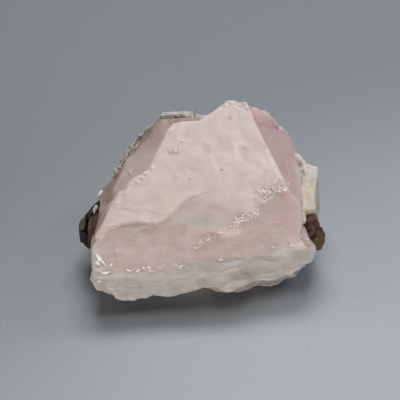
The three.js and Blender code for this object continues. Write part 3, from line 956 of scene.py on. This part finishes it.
# The right crust's blocks: a broad slab, a narrower one in front, the strip beside the
# chip, the thin ridge that runs back along the crystal, and a grain under the chip.
RIGHT_CRUST_BLOCKS = [
    [(21.2, 7.3, 14.1), (22.6, 6.5, 13.9), (23.9, 6.4, 14), (24, 5, 13.9), (23.7, 3.4, 13.6),
     (23.2, 2, 13.2), (20.2, 3, 13.8), (20, 5.5, 14), (21.4, 7.2, 4.8), (24.4, 5, 6.5),
     (24.5, 0, 6.8), (21.1, 0, 5)],
    [(20.1, 3.5, 13.6), (23.4, 2.6, 13.3), (22.8, 0.5, 12.8), (22.5, -1, 12.8), (22.6, -3, 12.9),
     (22.7, -4.2, 12.7), (20.4, -5, 13.2), (20, -2, 13.4), (21.2, 3, 5), (24.3, 3, 6.2),
     (24.1, -4.5, 6.4), (21.4, -4.5, 5)],
    [(20, -4, 13.3), (20.9, -4.6, 12.8), (20.6, -6.5, 12.5), (20.4, -8.6, 12.1), (19.9, -9.4, 12.2),
     (19.7, -8, 13), (20.9, -4.5, 10), (20.8, -9, 10.4)],
    [(19.2, 10.4, 14.2), (19.5, 11.6, 13.6), (20.2, 9.4, 14.5), (20.9, 8.6, 14), (21.6, 7.6, 13.8),
     (21.2, 6.6, 14.1), (19.9, 8.2, 14.5), (20.4, 11.5, 9.8), (21.6, 9, 8), (21.8, 7, 8),
     (20.9, 9.5, 9)],
    [(20.4, -11.7, 12.5), (21, -11.5, 12.4), (21.4, -11.8, 11.8), (21.3, -12.2, 11.2),
     (20.6, -12.3, 11.6), (20.2, -12.1, 12.2), (20.4, -10.6, 10.8), (21.2, -10.6, 10.6)],
]
# The right end of the strip that shows over the shelf.
BACK_CRUST_BLOCKS = [
    [(-3.2, 13.6, 21.9), (-1.5, 13.6, 21.8), (0.5, 13.3, 21.4), (0.9, 12.9, 20.8),
     (-3.2, 14.6, 20.8), (-0.5, 14.4, 20.4), (-3, 12.6, 20.4), (0.2, 12.6, 20.2)],
]
# Pale grains that cling above the mica, left of the crystal.
LEFT_GRAIN_BLOCKS = [
    [(-20.5, -1.6, 13.3), (-19.6, -0.1, 13.9), (-19.3, 0.3, 13.4), (-19.9, -1.4, 13.7),
     (-20.2, -0.4, 13.8), (-19.8, -0.9, 12.6), (-20.6, -1.4, 12.8)],
    [(-21.3, -4.3, 12.7), (-20.9, -3.4, 13.3), (-20.2, -3.6, 13.6), (-20.3, -4.9, 13.2),
     (-21, -5.2, 12.6), (-20.4, -4.4, 12), (-21, -4.9, 12.1)],
]


def seated(mesh, points, height, low, high):
    """Raises a mesh's points by height mm, and lets those within low mm of the crystal into
    it but none past high."""
    points = points + height[:, None] * normals_of(mesh)
    for point in points:
        place, normal, _, distance = crystal_skin.find_nearest(Vector(point) * MM)
        share = 1 - climb(distance / MM, low, high)
        if share > 0:
            inside = np.array(place) / MM - SUNK * np.array(normal)
            point += share * (inside - point)
    move_to(mesh, points)
    return points


def albite_finish():
    finish = Finish("albite")
    noise, along, ramp = finish.noise, finish.along, finish.ramp
    cloud = ramp(noise(3, detail=3), 0.3, 0.7)
    outer = ramp(along((0.8, 0.6, 0)), 18.6, 22.4)
    olive_and_lit = ramp(along((-1, 0, 0)), -4, 2) * 0.9
    fleck = ramp(noise(1.2, detail=3, seed=5), 0.5, 0.62)
    colour = finish.layered(ALBITE_CREAM, [
        (cloud, ALBITE_WHITE),
        (outer * (cloud * 0.3 + 0.6), ALBITE_BLUISH),
        # The back left crust's own olive tone, made paler with painted light where it faces away
        # from the lamps.
        (olive_and_lit * (1 - fleck * 0.8), ALBITE_OLIVE_AND_LIGHT),
        (finish.mark("pale") * 0.8, ALBITE_BRIGHT),
        (finish.mark("rust"), RUST_BROWN),
    ])
    return finish.surface({
        "Base Color": colour,
        "Roughness": 0.4,
        "Subsurface Weight": 0.2,
        "Subsurface Radius": (1, 0.85, 0.7),
        "Subsurface Scale": 0.4 * MM,
        "Normal": finish.bump(noise(0.6, detail=3), 0.02),
    })


albite_material = albite_finish()


def albite_piece(name, blocks, node=None, *, voxel, coarse, fine, worn, low, high):
    """Rough albite, with coarse and fine relief, that is grown onto the crystal."""
    mesh = even_skin(name, voxel, blocks, node)
    points = softened(mesh, 2)
    height = coarse * facets(points, 1.6, 31) + fine * facets(points, 0.6, 32)
    height += 1.4 * coarse * swells(points, 3, 35)
    height -= worn * (1 - 0.5 * climb(points[:, 0], -10, -7))
    height -= 0.7 * worn * swells(points, 2, 36)
    points = seated(mesh, points, height, low, high)
    blotchy = climb(swells(points, 0.9, 33), -0.6, 0.2)
    add_mark(mesh, "rust", near(points, RUST_ARC, 0.55) * blotchy)
    add_mark(mesh, "pale", near_any(points, PALE_RIDGES, 0.3 + 0.5 * blotchy))
    add_mark(mesh, "sugar", climb(swells(points, 1.5, 34), -0.2, 0.6))
    piece = finished(name, mesh, albite_material, MATRIX_SHARP)
    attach(piece, "root")
    return piece


right_crust = albite_piece(
    "right_crust", RIGHT_CRUST_BLOCKS,
    voxel=0.15, coarse=0.16, fine=0.1, worn=0, low=0.5, high=0.8,
)
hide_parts("albite_crust_right")
back_crust = albite_piece(
    "back_crust", BACK_CRUST_BLOCKS, "albite_crust_back",
    voxel=0.16, coarse=0.22, fine=0.14, worn=0.4, low=0.38, high=0.7,
)
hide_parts("albite_crust_back")
albite_piece(
    "left_grains", LEFT_GRAIN_BLOCKS,
    voxel=0.12, coarse=0.08, fine=0.06, worn=0, low=0.1, high=0.3,
)
sugar = strewn(
    "sugary_grains", back_crust.data, "sugar", albite_material, density=2.5, size=0.7
)
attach(sugar, "root")
edge_sugar = strewn(
    "edge_sugar", crystal_mesh, "sugared", albite_material, density=4, size=0.6
)
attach(edge_sugar, "root")

# ---- Iron-stained chip ----
# A dark reddish-brown chip of the host rock, stained by iron and cracked from top to
# bottom. It has grown fast in the crust on the crystal's right side.

CHIP_VOXEL = 0.12
CHIP_CRACK = 0.35
CHIP_BROWN = (0.085, 0.03, 0.013)
CHIP_PALE_TOP = (0.14, 0.09, 0.055)
CHIP_CRACK_SHADE = (0.012, 0.008, 0.006)
CHIP_OLIVE = (0.122, 0.077, 0.04)
CHIP_BLOCKS = [
    [(21.8, -3.9, 11.9), (20.9, -5.3, 11.9), (20.6, -6.6, 11.7), (20.6, -7.4, 11.3),
     (22.7, -4.8, 11.9), (23.4, -6.2, 11.4), (20.9, -9.1, 11.8), (23.6, -7.6, 10.9), (21.4, -4, 8),
     (23.8, -4, 7.5), (21.2, -8, 8), (24, -8, 7.5)],
    [(20.9, -9, 11.8), (21.1, -10.6, 11.1), (21.1, -11.5, 10.6), (22.2, -11.6, 9.3),
     (23.1, -11, 9.3), (24.7, -9.5, 9.5), (24.7, -8.4, 9.9), (23.9, -7, 10.8), (22.5, -8, 11.3),
     (22, -10.5, 7), (24, -9.5, 6.6), (24.3, -6, 6.3), (22, -6, 6.5)],
]
CHIP_FACING = np.array([0, -0.67, 0.74])
CHIP_FISSURES = [
    [(21, -5.6, 12), (20.7, -6.6, 12), (21.1, -7.8, 11.9), (20.9, -8.8, 11.9), (21.5, -9.8, 11.5),
     (21.9, -11, 10.6)],
    [(22.3, -4.6, 12), (22.2, -5.8, 12), (22.6, -6.8, 11.6), (22.8, -8, 11.2)],
    [(21.5, -6.2, 12), (22, -7.4, 11.8), (21.9, -8.6, 11.6), (22.5, -9.6, 10.8)],
]


def chip_finish():
    finish = Finish("iron_stained_rock")
    cloud = finish.ramp(finish.noise(1.2, detail=4), 0.4, 0.65)
    olive = finish.ramp(finish.along((0.6, -0.8, 0)), 20.6, 21.6)
    paler_top = finish.ramp(finish.along((0, 0.743, 0.669)), 4, 5.2)
    colour = finish.layered(CHIP_BROWN, [
        (olive * (cloud * 0.4 + 0.6), CHIP_OLIVE),
        # Paler towards the top.
        (paler_top * 0.6, CHIP_PALE_TOP),
        # Painted shade inside the cracks.
        (finish.mark("fissure"), CHIP_CRACK_SHADE),
    ])
    return finish.surface({
        "Base Color": colour,
        "Roughness": 0.62,
        "Normal": finish.bump(finish.noise(0.4, detail=4), 0.08),
    })


chip_mesh = even_skin("chip", CHIP_VOXEL, CHIP_BLOCKS)
chip_points = softened(chip_mesh, 1)
torn = climb(swells(chip_points, 0.9, 43), -0.7, 0.3)
# The cracks run deep, so how far they lie below the front doesn't count.
upright = np.eye(3) - np.outer(CHIP_FACING, CHIP_FACING) / (CHIP_FACING @ CHIP_FACING)
fissures = [np.array(line) @ upright for line in CHIP_FISSURES]
fissure = near_any(chip_points @ upright, fissures, 0.4 + 0.3 * torn) * torn
chip_height = 0.22 * facets(chip_points, 1.3, 41) + 0.12 * facets(chip_points, 0.6, 42)
chip_height -= CHIP_CRACK * fissure
seated(chip_mesh, chip_points, chip_height, 0.5, 0.8)
add_mark(chip_mesh, "fissure", fissure)
chip = finished("chip", chip_mesh, chip_finish(), MATRIX_SHARP)
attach(chip, "root")
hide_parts("iron_stained_chip")

# ---- Mica book ----
# A small stack of dark brown mica sheets that stands against the crystal's left side. The outer
# sheets have come away a little. The black in the gap between the two packs, in the grooves and
# along the lower edges is painted shade.

MICA_BLOCKS = [
    [(-23.3, -5, 10.9), (-22.8, -5, 11.3), (-22.7, -6, 11), (-22.8, -7.2, 10.6),
     (-23.7, -5.4, 11.1), (-24.1, -6, 10.7), (-24.2, -6.6, 10.5), (-23.9, -7.2, 10.3),
     (-23.4, -7.8, 10.3), (-24.1, -5.2, 6), (-22.3, -3, 5.5), (-24, -8, 6.8), (-22.4, -7.6, 6)],
    [(-19.9, -1.4, 13.1), (-20.5, -2.4, 13.1), (-21.5, -3.2, 12.4), (-22.5, -4.2, 11.5),
     (-23.1, -4.8, 11), (-19.8, -2.2, 12.8), (-21, -3.8, 12.1), (-21.9, -5.2, 11.7), (-21.8, -2, 6),
     (-22.6, -3.8, 5), (-21.2, -3.5, 6.5)],
    [(-23.5, -8.2, 10.4), (-22.7, -7.9, 10.6), (-22.5, -9, 9.5), (-23.5, -8.8, 8.6),
     (-22.9, -9.5, 8.5), (-22.1, -9.9, 8.3), (-21.6, -10.1, 8.3), (-23.2, -8.4, 6.6),
     (-22, -9.6, 6.6), (-21.4, -8.4, 6.4), (-23.3, -7, 7)],
    [(-21.9, -5.7, 12.2), (-21, -5, 12.1), (-21.1, -6.6, 11.8), (-21, -8.6, 11),
     (-21.1, -9.2, 10.1), (-21.4, -9.4, 9.8), (-21.5, -10, 8.3), (-22, -9.3, 9.4),
     (-22.2, -8.1, 11), (-22.1, -6.4, 11.8), (-21.6, -6, 6), (-21.2, -9, 7), (-22, -7, 7)],
    [(-20.1, -2.7, 13.2), (-20.2, -5, 13.4), (-20.3, -8.2, 13.8), (-20.5, -10.6, 13.9),
     (-20.8, -11.8, 13.4), (-21.3, -8.6, 12), (-21.3, -5.2, 12.2), (-21.4, -10.6, 10.5),
     (-21.6, -6, 9.5), (-20.5, -3.6, 11), (-20.9, -9, 11.5)],
]
MICA_FACING = np.array([-0.93, -0.34, 0.17])
MICA_VOXEL = 0.11
MICA_SHEET = 0.42
MICA_GROOVE = 0.12
MICA_BLACK_AND_SHADE = (0.012, 0.009, 0.008)
MICA_GREY = (0.135, 0.112, 0.097)
MICA_BROWN = (0.135, 0.083, 0.062)
MICA_DARK = (0.035, 0.022, 0.017)


def mica_finish():
    finish = Finish("mica")
    ramp = finish.ramp
    cloud = ramp(finish.noise(1.5, detail=3), 0.3, 0.7)
    outward, down = finish.along((-1, 0, 0)), finish.along((0, -0.743, -0.669))
    outer = ramp(outward, 22.5, 22.8)
    gap = ramp(outward, 21.95, 22.2) * ramp(outward, 22.6, 22.9, 1, 0)
    low = ramp(down, -1.7, -1) * outer + ramp(down, 0.4, 1.4) * 0.5
    colour = finish.layered(MICA_BROWN, [
        (outer, MICA_GREY),
        (cloud * 0.4, MICA_DARK),
        # Painted shade: black in the gap between the packs, along the lower edges and in the
        # grooves.
        (gap * 0.9, MICA_BLACK_AND_SHADE),
        (low * 0.8, MICA_BLACK_AND_SHADE),
        # A black band along the top.
        (ramp(down, -4.6, -3.8, 1, 0) * 0.8, MICA_BLACK_AND_SHADE),
        (finish.mark("groove") * 0.5, MICA_BLACK_AND_SHADE),
    ])
    return finish.surface({
        "Base Color": colour,
        "Roughness": 0.5,
        "Specular IOR Level": 0.3,
        "Normal": finish.bump(finish.noise(0.4, detail=4), 0.04),
    })


mica_mesh = even_skin("mica", MICA_VOXEL, MICA_BLOCKS)
mica_points = softened(mica_mesh, 1)
across_sheets = mica_points @ MICA_FACING + 0.3 * swells(mica_points, 1.6, 53)
groove = climb(np.abs((across_sheets / MICA_SHEET) % 1 - 0.5), 0.3, 0.5)
groove *= climb(swells(mica_points, 1.4, 54), -0.5, 0.4)
mica_height = 0.18 * facets(mica_points, 1.3, 51) + 0.08 * facets(mica_points, 0.5, 52)
mica_height -= MICA_GROOVE * groove
seated(mica_mesh, mica_points, mica_height, 0.2, 0.45)
add_mark(mica_mesh, "groove", groove)
mica = finished("mica", mica_mesh, mica_finish(), MATRIX_SHARP)
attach(mica, "root")
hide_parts("mica_book")
